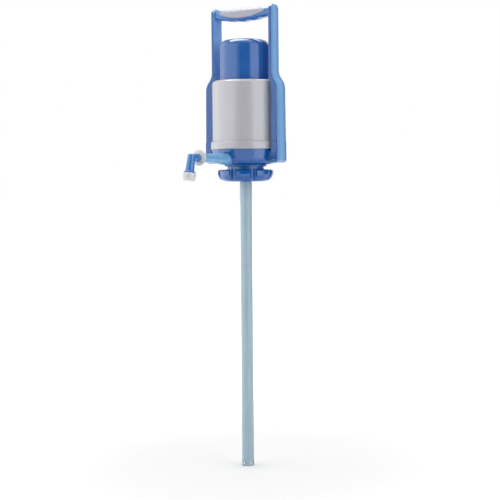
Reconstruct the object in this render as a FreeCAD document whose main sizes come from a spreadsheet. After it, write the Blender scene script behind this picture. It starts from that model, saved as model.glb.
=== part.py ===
import FreeCAD, Part
import Sketcher
import math
import os
import re

# Water jug hand pump, in millimetres. The origin is the centre of the neck gasket's underside, where the
# pump sits on the rim of the jug. +Z is up, the spout points to -Y and the handle's arms stand at +X and -X.

sizes = {
    # edges that many pieces share
    "edge_round": 0.8,
    "press_gap": 0.05,
    # seat on the jug's neck
    "neck_radius": 28.0,
    "gasket_inner": 20.5,
    "gasket_height": 2.5,
    "collet_wall": 2.2,
    "collet_bead": 0.8,
    "collet_shelf": 3.0,
    "collet_bottom": -13.5,
    "collet_flange_radius": 34.0,
    "collet_flange_low": 9.5,
    "collet_slots": 8,
    "slot_width": 2.8,
    "collar_radius": 45.0,
    "collar_bottom": -15.0,
    "collar_top": 5.0,
    "collar_rounding": 14.0,
    "collar_lobes": 8,
    "collar_turn": 7.0,
    "lobe_gap_radius": 6.0,
    # dip tube, in three lengths that plug together
    "tube_radius": 9.75,
    "tube_wall": 1.3,
    "tube_top": 13.0,
    "tube_low": -477.0,
    "tube_joint_one": -150.0,
    "tube_joint_two": -308.0,
    "spigot_length": 14.0,
    "spigot_wall": 1.1,
    "notch_width": 4.5,
    "notch_height": 9.0,
    # base: a bowl with a nozzle below, a rim above and a column for the water inside
    "base_bottom": 12.0,
    "base_floor_radius": 35.0,
    "bowl_radius": 50.5,
    "bowl_lift": 1.4,
    "bowl_rounding": 11.0,
    "base_radius": 54.0,
    "base_wall": 2.8,
    "nozzle_radius": 12.4,
    "nozzle_low": -8.0,
    "riser_radius": 7.0,
    "riser_lift": 4.0,
    "breather_place": 16.4,
    "breather_radius": 2.2,
    "breather_holes": 6,
    "rim_radius": 53.0,
    "rim_top": 46.0,
    "ledge_width": 2.6,
    "lug_width": 20.0,
    "lug_drop": 3.0,
    # valve plate and the umbrella valves
    "plate_low": 32.5,
    "plate_top": 35.5,
    "plate_radius": 50.0,
    "plate_gap": 0.4,
    "guide_radius": 15.0,
    "guide_wall": 2.5,
    "guide_height": 4.0,
    "check_valve_place": 22.5,
    "stem_hole_radius": 1.9,
    "air_hole_place": 5.6,
    "air_hole_radius": 1.5,
    "disc_radius": 8.6,
    "disc_height": 1.6,
    "disc_edge": 0.7,
    "stem_radius": 1.6,
    "stem_length": 3.4,
    "bead_radius": 2.6,
    "bead_height": 2.0,
    # shell
    "band_radius": 55.6,
    "band_low": 37.0,
    "band_top": 49.0,
    "band_round": 1.4,
    "band_slope": 0.6,
    "shell_radius": 52.8,
    "shell_top": 147.0,
    "shell_wall": 2.2,
    "shell_rounding": 7.0,
    # push cap
    "cap_radius": 40.5,
    "cap_top": 212.0,
    "cap_wall": 2.2,
    "cap_rounding": 12.5,
    "cap_gap": 0.7,
    "cap_flange_radius": 48.5,
    "cap_flange_top": 144.0,
    "cap_flange_thickness": 3.0,
    "ceiling_ring_inner": 23.0,
    "ceiling_ring_outer": 26.0,
    "ceiling_ring_height": 3.8,
    "air_notches": 4,
    "air_notch_width": 6.0,
    "air_notch_depth": 3.0,
    # bellows, with the plate in its top and the ring on its hem
    "fold_radius": 36.0,
    "fold_depth": 7.0,
    "fold_margin": 4.0,
    "bellows_wall": 1.4,
    "bellows_folds": 10,
    "bellows_neck": 8.4,
    "hem_radius": 43.0,
    "hem_thickness": 1.8,
    "cuff_wall": 1.8,
    "lip_drop": 2.2,
    "top_plate_radius": 31.5,
    "top_plate_thickness": 2.2,
    "clamp_inner": 37.5,
    "clamp_height": 5.0,
    "clamp_foot": 2.6,
    # spring
    "coil_radius": 17.0,
    "wire_radius": 1.1,
    "coil_turns": 9,
    # spout, measured along its own axis from the pump's axis
    "spout_height": 20.3,
    "spout_rise": 1.0,
    "boss_start": 8.0,
    "boss_radius": 8.2,
    "cup_start": 36.5,
    "cup_end": 60.0,
    "cup_radius": 11.7,
    "cup_bore": 10.6,
    "cup_lip": 0.5,
    "spigot_start": 30.0,
    "spigot_radius": 6.5,
    "seal_place": 34.0,
    "seal_width": 2.2,
    "seal_depth": 1.2,
    "pipe_root": 44.0,
    "pipe_root_radius": 9.5,
    "flare_place": 56.0,
    "flare_rounding": 60.0,
    "pipe_neck_place": 84.0,
    "pipe_neck_radius": 7.6,
    "pipe_neck_rounding": 100.0,
    "pipe_end": 119.5,
    "pipe_end_radius": 7.1,
    "pipe_bore": 4.8,
    "tip_length": 5.0,
    "tip_step": 0.35,
    "elbow_seal_width": 1.5,
    "stub_flange_end": 3.8,
    "stub_radius": 6.0,
    "elbow_reach": 142.0,
    "elbow_bore": 4.2,
    # the elbow's leg, measured down its own axis
    "leg_tilt": 10.0,
    "leg_crown": 5.8,
    "leg_crown_rounding": 3.6,
    "leg_top_radius": 5.6,
    "leg_foot_radius": 7.0,
    "leg_lip_radius": 9.0,
    "leg_length": 24.0,
    "plug_radius": 6.8,
    "plug_length": 6.5,
    "mouth_radius": 4.9,
    "end_cap_radius": 10.8,
    "end_cap_height": 12.0,
    "end_cap_floor": 2.0,
    "nut_radius": 12.2,
    "nut_sleeve_radius": 9.0,
    "nut_reach": 6.6,
    "nut_teeth": 24,
    "tooth_depth": 1.1,
    # arms
    "arm_width": 25.8,
    "arm_neck_width": 21.9,
    "arm_outer": 69.4,
    "arm_inner": 59.5,
    "arm_neck_outer": 58.4,
    "arm_thickness": 4.6,
    "arm_low": 14.4,
    "arm_top": 265.0,
    "boot_top": 49.3,
    "boot_step": 0.8,
    "shoulder_low": 139.0,
    "shoulder_top": 157.0,
    "shoulder_rounding": 24.0,
    "waist_rounding": 50.0,
    "foot_height": 4.2,
    "foot_reach": 52.8,
    "screw_place": 56.2,
    "screw_spread": 5.0,
    "screw_radius": 1.3,
    "screw_reach": 9.0,
    "screw_head_radius": 2.7,
    "screw_seat_depth": 2.2,
    # grip
    "grip_top": 263.2,
    "grip_drop": 2.8,
    "grip_middle_height": 22.2,
    "grip_end_height": 12.5,
    "grip_middle_depth": 22.0,
    "grip_end_depth": 18.0,
    "finger_pitch": 24.0,
    "trough_radius": 17.0,
    "outer_trough": 4.2,
    "inner_trough": 1.9,
    "pad_thickness": 1.6,
    "pad_length": 91.0,
    "pad_tips": 255.5,
    "pad_low": 247.0,
}

doc = FreeCAD.newDocument("hand_pump")
sheet = doc.addObject("Spreadsheet::Sheet", "Sizes")
for row, (word, number) in enumerate(sizes.items(), start=1):
    sheet.set(f"A{row}", word)
    sheet.set(f"B{row}", str(number))
    sheet.setAlias(f"B{row}", word)
doc.recompute()

OUT = "parts"
TINY = 1e-6
SLIP = 0.3  # gap between curved faces of pieces that move on each other


def value(words):
    """The number that a formula in words of the sheet stands for."""
    return float(sheet.evalExpression(str(words)))


def bound(words):
    """The same formula as another object writes it, with the sheet's name before each word."""
    return re.sub(r"[a-z_]+", lambda word: "Sizes." * (word[0] in sizes) + word[0], str(words))


def new_body(label):
    body = doc.addObject("PartDesign::Body", label)
    body.Label = label
    return body


def new_sketch(body, role, lift=None):
    """A sketch in one of the body's own origin planes, or that plane lifted along its normal."""
    plane = next(item for item in body.Origin.OriginFeatures if item.Role == role)
    sketch = body.newObject("Sketcher::SketchObject", body.Label + "_sketch")
    sketch.AttachmentSupport = [(plane, "")]
    sketch.MapMode = "FlatFace"
    if lift is not None:
        sketch.setExpression("AttachmentOffset.Base.z", bound(lift))
    return sketch


def tie(sketch, geometry, point, across, up):
    """Holds one point of a sketch at formulas of the sheet."""
    for kind, words in (("DistanceX", across), ("DistanceY", up)):
        number = sketch.addConstraint(Sketcher.Constraint(kind, -1, 1, geometry, point, value(words)))
        sketch.setExpression(f"Constraints[{number}]", bound(words))


def outline(sketch, corners):
    """A closed outline. A corner is (across, up) or (across, up, rounding), each a formula of the sheet."""
    spots = [FreeCAD.Vector(value(c[0]), value(c[1]), 0) for c in corners]
    rounds = [c[2] if len(c) > 2 else None for c in corners]
    count = len(corners)
    starts = []
    ends = []
    arcs = []
    middles = []
    for here in range(count):
        spot = spots[here]
        if rounds[here] is None:
            starts.append(spot)
            ends.append(spot)
            arcs.append(None)
            middles.append(None)
            continue
        back = (spots[here - 1] - spot).normalize()
        ahead = (spots[(here + 1) % count] - spot).normalize()
        half_angle = back.getAngle(ahead) / 2
        radius = value(rounds[here])
        reach = radius / math.tan(half_angle)
        middle = spot + (back + ahead).normalize() * (radius / math.sin(half_angle))
        before = spot + back * reach
        after = spot + ahead * reach
        crown = middle + (spot - middle).normalize() * radius
        starts.append(before)
        ends.append(after)
        arcs.append(Part.Arc(before, crown, after))
        middles.append(middle)
    sides = [
        sketch.addGeometry(Part.LineSegment(ends[here], starts[(here + 1) % count]), False)
        for here in range(count)
    ]
    for here in range(count):
        if ends[here].distanceToPoint(starts[(here + 1) % count]) < TINY:
            raise RuntimeError(f"{sketch.Label}: the side after corner {here} has no length")
        into, out = sides[here - 1], sides[here]
        across, up = corners[here][0], corners[here][1]
        if arcs[here] is None:
            sketch.addConstraint(Sketcher.Constraint("Coincident", into, 2, out, 1))
            tie(sketch, out, 1, across, up)
            continue
        arc = sketch.addGeometry(arcs[here], False)
        middle = middles[here]
        flip = (starts[here] - middle).cross(ends[here] - middle).z < 0
        first, last = (2, 1) if flip else (1, 2)
        sketch.addConstraint(Sketcher.Constraint("Tangent", into, 2, arc, first))
        sketch.addConstraint(Sketcher.Constraint("Tangent", out, 1, arc, last))
        number = sketch.addConstraint(Sketcher.Constraint("Radius", arc, value(rounds[here])))
        sketch.setExpression(f"Constraints[{number}]", bound(rounds[here]))
        corner = sketch.addGeometry(Part.Point(spots[here]), True)
        sketch.addConstraint(Sketcher.Constraint("PointOnObject", corner, 1, into))
        sketch.addConstraint(Sketcher.Constraint("PointOnObject", corner, 1, out))
        tie(sketch, corner, 1, across, up)


def circle(sketch, across, up, radius):
    spot = FreeCAD.Vector(value(across), value(up), 0)
    ring = sketch.addGeometry(Part.Circle(spot, FreeCAD.Vector(0, 0, 1), value(radius)), False)
    tie(sketch, ring, 3, across, up)
    number = sketch.addConstraint(Sketcher.Constraint("Radius", ring, value(radius)))
    sketch.setExpression(f"Constraints[{number}]", bound(radius))


def axis_line(sketch, start, end):
    """A construction line that a profile turns about."""
    spots = [FreeCAD.Vector(value(spot[0]), value(spot[1]), 0) for spot in (start, end)]
    line = sketch.addGeometry(Part.LineSegment(*spots), True)
    tie(sketch, line, 1, *start)
    tie(sketch, line, 2, *end)


def volume_of(body):
    doc.recompute()
    return body.Shape.Volume if not body.Shape.isNull() else 0.0


def finish_feature(body, feature, grows, before):
    after = volume_of(body)
    gained = after - before
    if (gained > TINY) != grows or abs(gained) < TINY:
        raise RuntimeError(f"{feature.Label} changed the volume by {gained:.3f}")
    return feature


def revolve(body, sketch, cut=False, axis="V_Axis"):
    """Turns a profile once about the sketch's own upright axis, or about its axis line."""
    before = volume_of(body)
    kind = "Groove" if cut else "Revolution"
    feature = body.newObject(f"PartDesign::{kind}", f"{body.Label}_{kind.lower()}")
    feature.Profile = (sketch, [""])
    feature.ReferenceAxis = (sketch, [axis])
    feature.Angle = 360
    return finish_feature(body, feature, not cut, before)


def pad(body, sketch, length, both=True, flip=False):
    before = volume_of(body)
    feature = body.newObject("PartDesign::Pad", f"{body.Label}_pad")
    feature.Profile = (sketch, [""])
    feature.setExpression("Length", bound(length))
    feature.SideType = "Symmetric" if both else "One side"
    feature.Reversed = flip
    return finish_feature(body, feature, True, before)


def pocket(body, sketch, length=None, both=True, flip=False):
    """Cuts a sketch out of the body, right through unless a length is given."""
    before = volume_of(body)
    feature = body.newObject("PartDesign::Pocket", f"{body.Label}_pocket")
    feature.Profile = (sketch, [""])
    feature.Type = "Length"
    feature.setExpression("Length", bound(length if length is not None else "1000"))
    feature.SideType = "Symmetric" if both else "One side"
    feature.Reversed = flip
    return finish_feature(body, feature, False, before)


def repeat_around(body, feature, count, grows=False):
    """Repeats a feature evenly round the body's upright axis."""
    before = volume_of(body)
    pattern = body.newObject("PartDesign::PolarPattern", f"{body.Label}_pattern")
    pattern.Originals = [feature]
    upright = next(item for item in body.Origin.OriginFeatures if item.Role == "Z_Axis")
    pattern.Axis = (upright, [""])
    pattern.Angle = 360
    pattern.setExpression("Occurrences", bound(count))
    body.Tip = pattern
    return finish_feature(body, pattern, grows, before)


def mirrored(corners):
    """An outline's right half and its mirror image, as one closed run of corners."""
    left = [(f"-({corner[0]})",) + tuple(corner[1:]) for corner in reversed(corners)]
    return list(corners) + left


def box_outline(half_width, low, high, rounding=None):
    spots = [(half_width, low), (half_width, high)]
    if rounding is not None:
        spots = [spot + (rounding,) for spot in spots]
    return mirrored(spots)


def turned(label, corners):
    """A body turned from one profile, drawn as radius and height."""
    body = new_body(label)
    sketch = new_sketch(body, "XZ_Plane")
    outline(sketch, corners)
    revolve(body, sketch)
    return body


nodes = {}


def keep(thing):
    nodes[thing.Label] = thing
    return thing


def make_push_cap():
    inner = "cap_radius - cap_wall"
    ceiling = "cap_top - cap_wall"
    ring_low = f"{ceiling} - ceiling_ring_height"
    flange_low = "cap_flange_top - cap_flange_thickness"
    body = turned("push_cap", [
        ("0", "cap_top"),
        ("0", ceiling),
        ("ceiling_ring_inner", ceiling),
        ("ceiling_ring_inner", ring_low),
        ("ceiling_ring_outer", ring_low),
        ("ceiling_ring_outer", ceiling),
        (inner, ceiling, "cap_rounding - cap_wall"),
        (inner, flange_low),
        ("cap_flange_radius", flange_low, "edge_round"),
        ("cap_flange_radius", "cap_flange_top", "edge_round"),
        ("cap_radius", "cap_flange_top"),
        ("cap_radius", "cap_top", "cap_rounding"),
    ])
    # air passes the ceiling's ring through its notches
    sketch = new_sketch(body, "XY_Plane", ring_low)
    side = "air_notch_width / 2"
    outline(sketch, [("ceiling_ring_inner - 1", f"-{side}"), ("ceiling_ring_outer + 1", f"-{side}"),
                     ("ceiling_ring_outer + 1", side), ("ceiling_ring_inner - 1", side)])
    notch = pocket(body, sketch, "air_notch_depth", both=False, flip=True)
    repeat_around(body, notch, "air_notches")
    return keep(body)


def make_outer_shell():
    mouth = "cap_radius + cap_gap"
    shell_inner = "shell_radius - shell_wall"
    band_inner = "band_radius - shell_wall"
    return keep(turned("outer_shell", [
        ("band_radius", "band_low", "edge_round"),
        ("band_radius", "band_top", "band_round"),
        ("shell_radius", "band_top + band_slope"),
        ("shell_radius", "shell_top", "shell_rounding"),
        (mouth, "shell_top", "edge_round - 0.1"),
        (mouth, "shell_top - shell_wall"),
        (shell_inner, "shell_top - shell_wall", "shell_rounding - shell_wall"),
        (shell_inner, "band_top - shell_wall + band_slope"),
        (band_inner, "band_top - shell_wall"),
        (band_inner, "band_low"),
    ]))


def make_base_housing():
    floor = "base_bottom + base_wall"
    seat = "tube_radius + press_gap"
    rim_inner = "plate_radius + plate_gap"
    body = turned("base_housing", [
        ("0", "nozzle_low"),
        ("nozzle_radius", "nozzle_low", "1"),
        ("nozzle_radius", "base_bottom"),
        ("base_floor_radius", "base_bottom"),
        ("bowl_radius", "base_bottom + bowl_lift", "bowl_rounding"),
        ("base_radius", "band_low"),
        ("rim_radius", "band_low"),
        ("rim_radius", "rim_top", "1"),
        (rim_inner, "rim_top"),
        (rim_inner, "plate_low"),
        ("plate_radius - ledge_width", "plate_low"),
        ("bowl_radius - base_wall - 1", f"{floor} + bowl_lift", "bowl_rounding - base_wall"),
        ("base_floor_radius", floor),
        ("nozzle_radius", floor, "1.5"),
        ("nozzle_radius", "plate_low"),
        ("0", "plate_low"),
    ])
    # outlet boss inside the bowl, on the spout's rising axis, with a cup round the pipe's root
    sketch = new_sketch(body, "YZ_Plane")
    spout_profile(sketch, [("boss_start", "0"), ("boss_start", "boss_radius"), ("cup_start", "boss_radius"),
                           ("cup_start", "cup_radius"), ("cup_end", "cup_radius"), ("cup_end", "0")])
    revolve(body, sketch, axis="Axis0")
    # the cup is cut off level with the ledge, and outside it stands out of the bowl as a thin lip
    sketch = new_sketch(body, "XZ_Plane")
    outline(sketch, [("nozzle_radius + 1", "plate_low"), (rim_inner, "plate_low"), (rim_inner, "rim_top"),
                     ("nozzle_radius + 1", "rim_top")])
    outline(sketch, [
        ("base_floor_radius", "base_bottom - cup_lip"),
        ("bowl_radius + cup_lip", "base_bottom + bowl_lift - cup_lip", "bowl_rounding + cup_lip"),
        ("base_radius + cup_lip", "band_low"),
        ("cup_end + 10", "band_low"),
        ("cup_end + 10", "nozzle_low"),
        ("base_floor_radius", "nozzle_low"),
    ])
    revolve(body, sketch, cut=True)
    sketch = new_sketch(body, "YZ_Plane")
    spout_profile(sketch, [("pipe_root", "0"), ("pipe_root", "cup_bore"), ("cup_end + 1", "cup_bore"),
                           ("cup_end + 1", "0")])
    revolve(body, sketch, cut=True, axis="Axis0")
    # lugs that the arms' feet are screwed to
    sketch = new_sketch(body, "XZ_Plane")
    foot_top = "arm_low + foot_height"
    lug_top = "band_low - lug_drop"
    outline(sketch, [("plate_radius - ledge_width", foot_top), ("arm_inner", foot_top),
                     ("arm_inner", lug_top, "2"), ("plate_radius + 1.5", lug_top)])
    lug = pad(body, sketch, "lug_width")
    mirror = body.newObject("PartDesign::Mirrored", "base_housing_mirror")
    mirror.Originals = [lug]
    mirror.MirrorPlane = (next(i for i in body.Origin.OriginFeatures if i.Role == "YZ_Plane"), [""])
    body.Tip = mirror
    doc.recompute()
    # bore for the dip tube, and the rising water passage above it
    sketch = new_sketch(body, "XZ_Plane")
    outline(sketch, [("0", "nozzle_low - 1"), (seat, "nozzle_low - 1"), (seat, "tube_top"),
                     ("riser_radius", "tube_top"), ("riser_radius", "spout_height + riser_lift"),
                     ("0", "spout_height + riser_radius")])
    revolve(body, sketch, cut=True)
    # passage to the spout, with the wider seat of the pipe's spigot
    sketch = new_sketch(body, "YZ_Plane")
    socket = "spigot_radius + press_gap"
    spout_profile(sketch, [("0", "0"), ("0", "pipe_bore"), ("spigot_start", "pipe_bore"),
                           ("spigot_start", socket), ("pipe_root + 1", socket), ("pipe_root + 1", "0")])
    revolve(body, sketch, cut=True, axis="Axis0")
    # the chamber under the floor breathes into the neck through a ring of holes
    sketch = new_sketch(body, "XY_Plane", f"{floor} + 1")
    circle(sketch, "breather_place", "0", "breather_radius")
    hole = pocket(body, sketch, "base_wall + 3", both=False)
    repeat_around(body, hole, "breather_holes")
    # holes for the screws of the arms' feet
    for side in ("", "-"):
        for place in ("screw_spread", "-screw_spread"):
            sketch = new_sketch(body, "XY_Plane", foot_top)
            circle(sketch, f"{side}screw_place", place, "screw_radius")
            pocket(body, sketch, "screw_reach", both=False, flip=True)
    return keep(body)


def spout_profile(sketch, corners):
    """A half profile beside the spout's axis: (distance out, distance from the axis). In this plane the
    spout runs to the left and rises."""
    far = "200"
    axis_line(sketch, ("0", "spout_height"), (f"-{far}", f"spout_height + {far} * tan(spout_rise * 1 deg)"))
    outline(sketch, [
        (
            f"-({out}) * cos(spout_rise * 1 deg) + ({off}) * sin(spout_rise * 1 deg)",
            f"spout_height + ({out}) * sin(spout_rise * 1 deg) + ({off}) * cos(spout_rise * 1 deg)",
        )
        for out, off in corners
    ])


def drill_valve_seat(body, along, level):
    """The stem hole of an umbrella valve and the ring of air holes that its disc covers."""
    sketch = new_sketch(body, "XY_Plane", level)
    circle(sketch, "0", along, "stem_hole_radius")
    for turn in range(6):
        across = f"air_hole_place * cos({turn * 60} deg)"
        up = f"{along} + air_hole_place * sin({turn * 60} deg)"
        circle(sketch, across, up, "air_hole_radius")
    pocket(body, sketch, "40")


def make_valve_plate():
    guide_top = "plate_top + guide_height"
    body = turned("valve_plate", [
        ("0", "plate_low"),
        ("plate_radius", "plate_low"),
        ("plate_radius", "plate_top", "0.6"),
        ("guide_radius", "plate_top"),
        ("guide_radius", guide_top, "0.6"),
        ("guide_radius - guide_wall", guide_top, "0.6"),
        ("guide_radius - guide_wall", "plate_top"),
        ("0", "plate_top"),
    ])
    drill_valve_seat(body, "check_valve_place", "plate_low")
    return keep(body)


def make_umbrella(label, along, height):
    """A rubber umbrella valve: a thin dished disc on a stem with a bead that pulls through its hole. The disc
    lies under the plate and the stem stands up through it."""
    body = turned(label, [
        ("0", "-disc_height"),
        ("disc_radius - 2.6", "-disc_height"),
        ("disc_radius", "-disc_edge"),
        ("disc_radius", "0"),
        ("stem_radius", "0"),
        ("stem_radius", "stem_length"),
        ("bead_radius", "stem_length + 0.4"),
        ("stem_radius - 0.4", "stem_length + bead_height"),
        ("0", "stem_length + bead_height"),
    ])
    body.setExpression("Placement.Base.y", bound(along))
    body.setExpression("Placement.Base.z", bound(height))
    return keep(body)


def make_bellows():
    inner = "(fold_radius - fold_depth)"
    waist = f"{inner} + bellows_wall"
    low = "plate_top"
    ceiling = "cap_top - cap_wall"
    top = f"{ceiling} - bellows_neck"
    folds_low = f"{low} + fold_margin"
    pitch = f"(({top}) - ({low}) - 2 * fold_margin) / bellows_folds"
    count = sizes["bellows_folds"]
    outside = []
    inside = []
    for fold in range(count):
        valley = f"{folds_low} + {fold} * {pitch}"
        crest = f"{folds_low} + {fold + 0.5} * {pitch}"
        outside += [(waist, valley), ("fold_radius", crest)]
        inside += [(inner, valley), ("fold_radius - bellows_wall", crest)]
    last = f"{folds_low} + {count} * {pitch}"
    cuff = "top_plate_radius + cuff_wall + 0.3"
    lip_high = f"{ceiling} - lip_drop"
    body = turned("bellows", [
        ("fold_radius - 8", low),
        ("hem_radius", low),
        ("hem_radius", f"{low} + hem_thickness"),
        (waist, f"{low} + hem_thickness"),
        *outside,
        (waist, last),
        (cuff, f"{last} + 1.5"),
        (cuff, lip_high),
        ("top_plate_radius - 2.7", lip_high),
        ("top_plate_radius - 2.7", f"{lip_high} - 1.3"),
        ("top_plate_radius + 0.3", f"{lip_high} - 1.3"),
        ("top_plate_radius + 0.3", f"{last} + 2.4"),
        (inner, f"{last} + 0.9"),
        *reversed(inside),
    ])
    return keep(body)


def make_bellows_top_plate():
    top = "cap_top - cap_wall - ceiling_ring_height"
    body = turned("bellows_top_plate", [
        ("0", f"{top} - top_plate_thickness"),
        ("top_plate_radius", f"{top} - top_plate_thickness", "0.6"),
        ("top_plate_radius", top, "0.6"),
        ("0", top),
    ])
    drill_valve_seat(body, "0", top)
    return keep(body)


def make_bellows_clamp_ring():
    low = "plate_top + hem_thickness"
    high = f"{low} + clamp_height"
    return keep(turned("bellows_clamp_ring", [
        ("clamp_inner", low),
        ("plate_radius - 0.2", low, "0.5"),
        ("plate_radius - 0.2", high, "edge_round"),
        ("plate_radius - 3.5", high, "edge_round"),
        ("plate_radius - 3.5", f"{low} + clamp_foot"),
        ("clamp_inner", f"{low} + clamp_foot", "edge_round"),
    ]))


def make_return_spring():
    body = new_body("return_spring")
    sketch = new_sketch(body, "XZ_Plane")
    circle(sketch, "coil_radius", "0", "wire_radius")
    doc.recompute()
    coil = body.newObject("PartDesign::AdditiveHelix", "return_spring_coil")
    coil.Profile = (sketch, [""])
    coil.ReferenceAxis = (sketch, ["V_Axis"])
    coil.Mode = "height-turns-angle"
    under_plate = "cap_top - cap_wall - ceiling_ring_height - top_plate_thickness"
    coil.setExpression("Height", bound(f"{under_plate} - plate_top - 2 * wire_radius - 0.6"))
    coil.setExpression("Turns", bound("coil_turns"))
    coil.Angle = 0
    body.setExpression("Placement.Base.z", bound("plate_top + wire_radius + 0.1"))
    return keep(body)


def make_neck_gasket():
    return keep(turned("neck_gasket", [
        ("gasket_inner", "0"),
        ("neck_radius - 0.2", "0"),
        ("neck_radius - 0.2", "gasket_height"),
        ("gasket_inner", "gasket_height"),
    ]))


def make_neck_collet():
    outer = "neck_radius + collet_wall"
    bead = f"{outer} + collet_bead"
    shelf = "gasket_height + collet_shelf"
    body = turned("neck_collet", [
        ("gasket_inner - 0.5", "gasket_height"),
        ("neck_radius", "gasket_height"),
        ("neck_radius", "collet_bottom + 2.4"),
        ("neck_radius - 0.5", "collet_bottom + 1.2", "0.5"),
        ("neck_radius", "collet_bottom"),
        (bead, "collet_bottom"),
        (bead, "collet_bottom + 2"),
        (outer, "collet_bottom + 8"),
        (outer, "collar_top + 1"),
        (f"{outer} - 0.7", "collar_top + 1"),
        (f"{outer} - 0.7", "collet_flange_low"),
        ("collet_flange_radius", "collet_flange_low", "0.7"),
        ("collet_flange_radius", "base_bottom", "0.7"),
        ("gasket_inner + 3.5", "base_bottom"),
        ("gasket_inner + 3.5", shelf),
        ("gasket_inner - 0.5", shelf),
    ])
    # the slots that part the fingers
    sketch = new_sketch(body, "XZ_Plane")
    side = "slot_width / 2"
    crown = "slot_width / 2 - 0.2"
    outline(sketch, mirrored([(side, "collet_bottom - 1"), (side, "0", crown)]))
    slot = pocket(body, sketch, "60", both=False)
    repeat_around(body, slot, "collet_slots")
    return keep(body)


def make_clamp_collar():
    inner = f"neck_radius + collet_wall + {SLIP}"
    bead_room = f"{inner} + collet_bead"
    mouth = "neck_radius + 1.2"
    body = turned("clamp_collar", [
        (f"{inner} + 1", "collar_top"),
        (inner, "collar_top - 1"),
        (inner, "collet_bottom + 8"),
        (bead_room, "collet_bottom + 2"),
        (bead_room, f"collet_bottom - {SLIP}"),
        (mouth, f"collet_bottom - {SLIP}"),
        (mouth, "collar_bottom", "0.4"),
        ("collar_radius - 0.8", "collar_bottom", "collar_rounding"),
        ("collar_radius", "collar_top - 2.6", "0.8"),
        ("collar_radius - 2", "collar_top - 1", "1.2"),
        ("neck_radius + 8", "collar_top"),
    ])
    # the gaps that part the lobes
    sketch = new_sketch(body, "XY_Plane")
    circle(sketch, "collar_radius + 0.6", "0", "lobe_gap_radius")
    gap = pocket(body, sketch, "60")
    repeat_around(body, gap, "collar_lobes")
    turn = FreeCAD.Rotation(FreeCAD.Vector(0, 0, 1), sizes["collar_turn"])
    body.Placement = FreeCAD.Placement(FreeCAD.Vector(), turn)
    return keep(body)


def make_dip_tube(label, top, bottom, spigot=True, foot=False):
    """One length of the dip tube. Its own top carries the spigot that the length above slides over."""
    bore = "tube_radius - tube_wall"
    if spigot:
        head = [(bore, f"{top} + spigot_length"), (f"{bore} - spigot_wall", f"{top} + spigot_length"),
                (f"{bore} - spigot_wall", f"{top} - 3"), (bore, f"{top} - 5")]
    else:
        head = []
    tube = [(bore, bottom), ("tube_radius", bottom, "0.3"), ("tube_radius", top, "0.3"), (bore, top)]
    body = turned(label, tube + head)
    if foot:
        # crossed notches let water in when the tube stands on the jug's floor
        for role in ("XZ_Plane", "YZ_Plane"):
            sketch = new_sketch(body, role)
            outline(sketch, [("-notch_width", f"{bottom} - 1"), ("notch_width", f"{bottom} - 1"),
                             ("notch_width / 3", f"{bottom} + notch_height", "1"),
                             ("-notch_width / 3", f"{bottom} + notch_height", "1")])
            pocket(body, sketch, "60")
    return keep(body)


def put_on_spout(body):
    """Turns a body whose own Z axis is the spout's axis into place."""
    turn = FreeCAD.Rotation(FreeCAD.Vector(1, 0, 0), 90 - sizes["spout_rise"])
    body.Placement = FreeCAD.Placement(FreeCAD.Vector(0, 0, sizes["spout_height"]), turn)


def make_spout_pipe():
    groove = "seal_place + seal_width"
    tip = "pipe_end_radius - tip_step"
    body = turned("spout_pipe", [
        ("pipe_bore", "spigot_start"),
        ("spigot_radius", "spigot_start", "0.5"),
        ("spigot_radius", "seal_place"),
        ("spigot_radius - seal_depth", "seal_place"),
        ("spigot_radius - seal_depth", groove),
        ("spigot_radius", groove),
        ("spigot_radius", "pipe_root"),
        ("pipe_root_radius", "pipe_root", "0.4"),
        ("pipe_root_radius", "flare_place", "flare_rounding"),
        ("pipe_neck_radius", "pipe_neck_place", "pipe_neck_rounding"),
        ("pipe_end_radius", "pipe_end - tip_length", "0.6"),
        (tip, "pipe_end - tip_length + 0.4"),
        (tip, "pipe_end"),
        ("pipe_bore", "pipe_end"),
    ])
    put_on_spout(body)
    return keep(body)


def make_pipe_seal():
    low = "seal_place + 0.1"
    high = "seal_place + seal_width - 0.1"
    inner = "spigot_radius - seal_depth + 0.05"
    outer = "spigot_radius - 0.05"
    body = turned("pipe_seal", [
        (inner, low, "0.5"),
        (outer, low, "0.5"),
        (outer, high, "0.5"),
        (inner, high, "0.5"),
    ])
    put_on_spout(body)
    return keep(body)


def make_elbow_seal():
    outer = "pipe_end_radius - tip_step - 0.3"
    high = "pipe_end + elbow_seal_width"
    body = turned("elbow_seal", [
        ("pipe_bore", "pipe_end"),
        (outer, "pipe_end"),
        (outer, high),
        ("pipe_bore", high),
    ])
    put_on_spout(body)
    return keep(body)


def make_spout_nut():
    thread = "pipe_end_radius - tip_step + 0.07"
    neck = "stub_radius + 0.07"
    step = "pipe_end + stub_flange_end + 0.2"
    end = "pipe_end + nut_reach"
    body = turned("spout_nut", [
        (thread, "pipe_end - 4"),
        ("nut_sleeve_radius", "pipe_end - 4", "0.6"),
        ("nut_sleeve_radius + 0.4", "pipe_end + 0.4"),
        ("nut_radius", "pipe_end + 0.9", "edge_round"),
        ("nut_radius", f"{end} - 1.2", "edge_round"),
        ("nut_sleeve_radius - 0.4", end, "edge_round"),
        (neck, end),
        (neck, step),
        (thread, step),
    ])
    sketch = new_sketch(body, "XY_Plane", "pipe_end - 5")
    outline(sketch, [("nut_radius - tooth_depth", "0"), ("nut_radius + 0.4", "-tooth_depth"),
                     ("nut_radius + 0.4", "tooth_depth")])
    notch = pocket(body, sketch, "14", both=False, flip=True)
    repeat_around(body, notch, "nut_teeth")
    put_on_spout(body)
    return keep(body)


def leg_spot(down, off):
    """A place beside the leg's axis, in the elbow's own upright plane: how far down the leg and how far
    off its axis."""
    return (
        f"-({down}) * cos(leg_tilt * 1 deg) + ({off}) * sin(leg_tilt * 1 deg)",
        f"elbow_reach + ({down}) * sin(leg_tilt * 1 deg) + ({off}) * cos(leg_tilt * 1 deg)",
    )


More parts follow.
